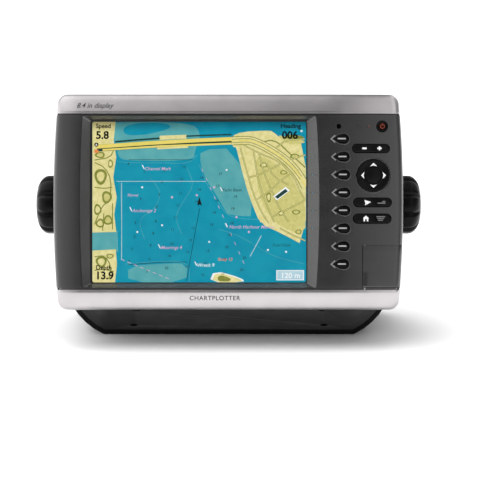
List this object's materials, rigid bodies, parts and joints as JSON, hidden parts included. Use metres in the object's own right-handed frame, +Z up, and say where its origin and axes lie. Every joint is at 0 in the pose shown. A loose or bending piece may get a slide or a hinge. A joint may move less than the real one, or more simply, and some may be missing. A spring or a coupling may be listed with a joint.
{
  "type": "chartplotter display",
  "caption": "Marine chartplotter: wide screen head with soft keys, rocker keys and a card door, tilting in a bail bracket between clamp knobs.",
  "frame": {"origin": "centre of the underside of the bracket's foot", "axes": "+Z up, the screen faces -Y (leaning back 13 degrees at rest), +X to the viewer's right"},
  "size_m": [0.319, 0.1312, 0.2023],
  "materials": {
    "bezel_plastic": "fine satin texture, charcoal grey",
    "silver_trim": "satin silver metallic paint on plastic",
    "window_glass": "clear, anti-glare",
    "screen": "lit colour screen with a chart",
    "key_rubber": "black with printed white marks",
    "seal_rubber": "matt black",
    "steel": "stainless, satin",
    "bare_aluminium": "mill finish",
    "brass": "turned",
    "black_powder_coat": "black powder coat on aluminium",
    "knob_plastic": "glossy black",
    "circuit_board": "green solder mask",
    "flat_cable": "amber film",
    "moulded_black": "matt black"
  },
  "bodies": {
    "bracket": {"mount_bracket": "black_powder_coat"},
    "head": {"front_bezel": "bezel_plastic", "top_trim": "silver_trim", "bottom_trim": "silver_trim", "window_lens": "window_glass", "light_sensor_window": "window_glass", "lcd_panel": "screen", "window_gasket": "seal_rubber", "key_mat": "seal_rubber", "card_door_seal": "seal_rubber", "case_gasket": "seal_rubber", "friction_washer_left": "seal_rubber", "friction_washer_right": "seal_rubber", "card_door_pin": "steel", "housing_screw_1": "steel", "housing_screw_2": "steel", "housing_screw_3": "steel", "housing_screw_4": "steel", "card_socket": "steel", "processor_shield": "steel", "lcd_frame": "bare_aluminium", "display_chassis": "bare_aluminium", "threaded_insert_left": "brass", "threaded_insert_right": "brass", "rear_case": "black_powder_coat", "heat_sink": "black_powder_coat", "key_board": "circuit_board", "main_board": "circuit_board", "power_board": "circuit_board", "lcd_ribbon": "flat_cable", "alarm_buzzer": "moulded_black", "power_socket": "moulded_black", "network_socket_1": "moulded_black", "network_socket_2": "moulded_black", "transducer_socket": "moulded_black", "antenna_socket": "moulded_black", "pressure_vent": "moulded_black"},
    "softkey_1": {"softkey_1": "key_rubber"},
    "softkey_2": {"softkey_2": "key_rubber"},
    "softkey_3": {"softkey_3": "key_rubber"},
    "softkey_4": {"softkey_4": "key_rubber"},
    "softkey_5": {"softkey_5": "key_rubber"},
    "softkey_6": {"softkey_6": "key_rubber"},
    "softkey_7": {"softkey_7": "key_rubber"},
    "softkey_8": {"softkey_8": "key_rubber"},
    "power_key": {"power_key": "key_rubber"},
    "range_rocker": {"range_rocker": "key_rubber"},
    "mark_rocker": {"mark_rocker": "key_rubber"},
    "home_rocker": {"home_rocker": "key_rubber"},
    "rocker_pad": {"rocker_pad": "key_rubber"},
    "rocker_carrier": {"rocker_carrier": "steel"},
    "card_door": {"card_door": "bezel_plastic"},
    "memory_card": {"memory_card": "moulded_black"},
    "washer_left": {"thrust_washer_left": "steel"},
    "knob_left": {"knob_left": "knob_plastic", "knob_stud_left": "steel"},
    "washer_right": {"thrust_washer_right": "steel"},
    "knob_right": {"knob_right": "knob_plastic", "knob_stud_right": "steel"}
  },
  "joints": [
    {"name": "head_tilt", "type": "hinge", "parent": "bracket", "child": "head", "pos_m": [0, -0.0115, 0.1047], "axis": [1, 0, 0], "range_deg": [-32, 15]},
    {"name": "softkey_1_press", "type": "slide", "parent": "head", "child": "softkey_1", "axis": [0, 0.9744, -0.225], "range_m": [0, 0.001], "stiffness_N_per_m": 800},
    {"name": "softkey_2_press", "type": "slide", "parent": "head", "child": "softkey_2", "axis": [0, 0.9744, -0.225], "range_m": [0, 0.001], "stiffness_N_per_m": 800},
    {"name": "softkey_3_press", "type": "slide", "parent": "head", "child": "softkey_3", "axis": [0, 0.9744, -0.225], "range_m": [0, 0.001], "stiffness_N_per_m": 800},
    {"name": "softkey_4_press", "type": "slide", "parent": "head", "child": "softkey_4", "axis": [0, 0.9744, -0.225], "range_m": [0, 0.001], "stiffness_N_per_m": 800},
    {"name": "softkey_5_press", "type": "slide", "parent": "head", "child": "softkey_5", "axis": [0, 0.9744, -0.225], "range_m": [0, 0.001], "stiffness_N_per_m": 800},
    {"name": "softkey_6_press", "type": "slide", "parent": "head", "child": "softkey_6", "axis": [0, 0.9744, -0.225], "range_m": [0, 0.001], "stiffness_N_per_m": 800},
    {"name": "softkey_7_press", "type": "slide", "parent": "head", "child": "softkey_7", "axis": [0, 0.9744, -0.225], "range_m": [0, 0.001], "stiffness_N_per_m": 800},
    {"name": "softkey_8_press", "type": "slide", "parent": "head", "child": "softkey_8", "axis": [0, 0.9744, -0.225], "range_m": [0, 0.001], "stiffness_N_per_m": 800},
    {"name": "power_key_press", "type": "slide", "parent": "head", "child": "power_key", "axis": [0, 0.9744, -0.225], "range_m": [0, 0.001], "stiffness_N_per_m": 800},
    {"name": "range_rocker_rock", "type": "hinge", "parent": "head", "child": "range_rocker", "pos_m": [0.1143, -0.05358, 0.15937], "axis": [0, 0.225, 0.9744], "range_deg": [-3, 3], "stiffness_Nm_per_rad": 0.2},
    {"name": "mark_rocker_rock", "type": "hinge", "parent": "head", "child": "mark_rocker", "pos_m": [0.1156, -0.0633, 0.11727], "axis": [0, 0.225, 0.9744], "range_deg": [-3, 3], "stiffness_Nm_per_rad": 0.2},
    {"name": "home_rocker_rock", "type": "hinge", "parent": "head", "child": "home_rocker", "pos_m": [0.1153, -0.06622, 0.10461], "axis": [0, 0.225, 0.9744], "range_deg": [-3, 3], "stiffness_Nm_per_rad": 0.2},
    {"name": "pad_up_down", "type": "hinge", "parent": "head", "child": "rocker_carrier", "pos_m": [0.1162, -0.05863, 0.13837], "axis": [1, 0, 0], "range_deg": [-3, 3], "stiffness_Nm_per_rad": 0.25},
    {"name": "pad_left_right", "type": "hinge", "parent": "rocker_carrier", "child": "rocker_pad", "pos_m": [0.1162, -0.05863, 0.13837], "axis": [0, 0.225, 0.9744], "range_deg": [-3, 3], "stiffness_Nm_per_rad": 0.25},
    {"name": "card_door_swing", "type": "hinge", "parent": "head", "child": "card_door", "pos_m": [0.1093, -0.08074, 0.06886], "axis": [0, -0.225, -0.9744], "range_deg": [0, 95]},
    {"name": "card_slide", "type": "slide", "parent": "head", "child": "memory_card", "axis": [0, -0.9744, 0.225], "range_m": [0, 0.004]},
    {"name": "washer_left_slide", "type": "slide", "parent": "head", "child": "washer_left", "axis": [-1, 0, 0], "range_m": [0, 0.005]},
    {"name": "knob_left_turn", "type": "hinge", "parent": "washer_left", "child": "knob_left", "pos_m": [-0.14, -0.0115, 0.1047], "axis": [-1, 0, 0], "range_deg": [0, 1440]},
    {"name": "washer_right_slide", "type": "slide", "parent": "head", "child": "washer_right", "axis": [1, 0, 0], "range_m": [0, 0.005]},
    {"name": "knob_right_turn", "type": "hinge", "parent": "washer_right", "child": "knob_right", "pos_m": [0.14, -0.0115, 0.1047], "axis": [1, 0, 0], "range_deg": [0, 1440]}
  ],
  "couplings": [
    {"joint": "knob_left_turn", "follows": "washer_left_slide", "rad_per_m": 5026.5},
    {"joint": "knob_right_turn", "follows": "washer_right_slide", "rad_per_m": 5026.5}
  ]
}
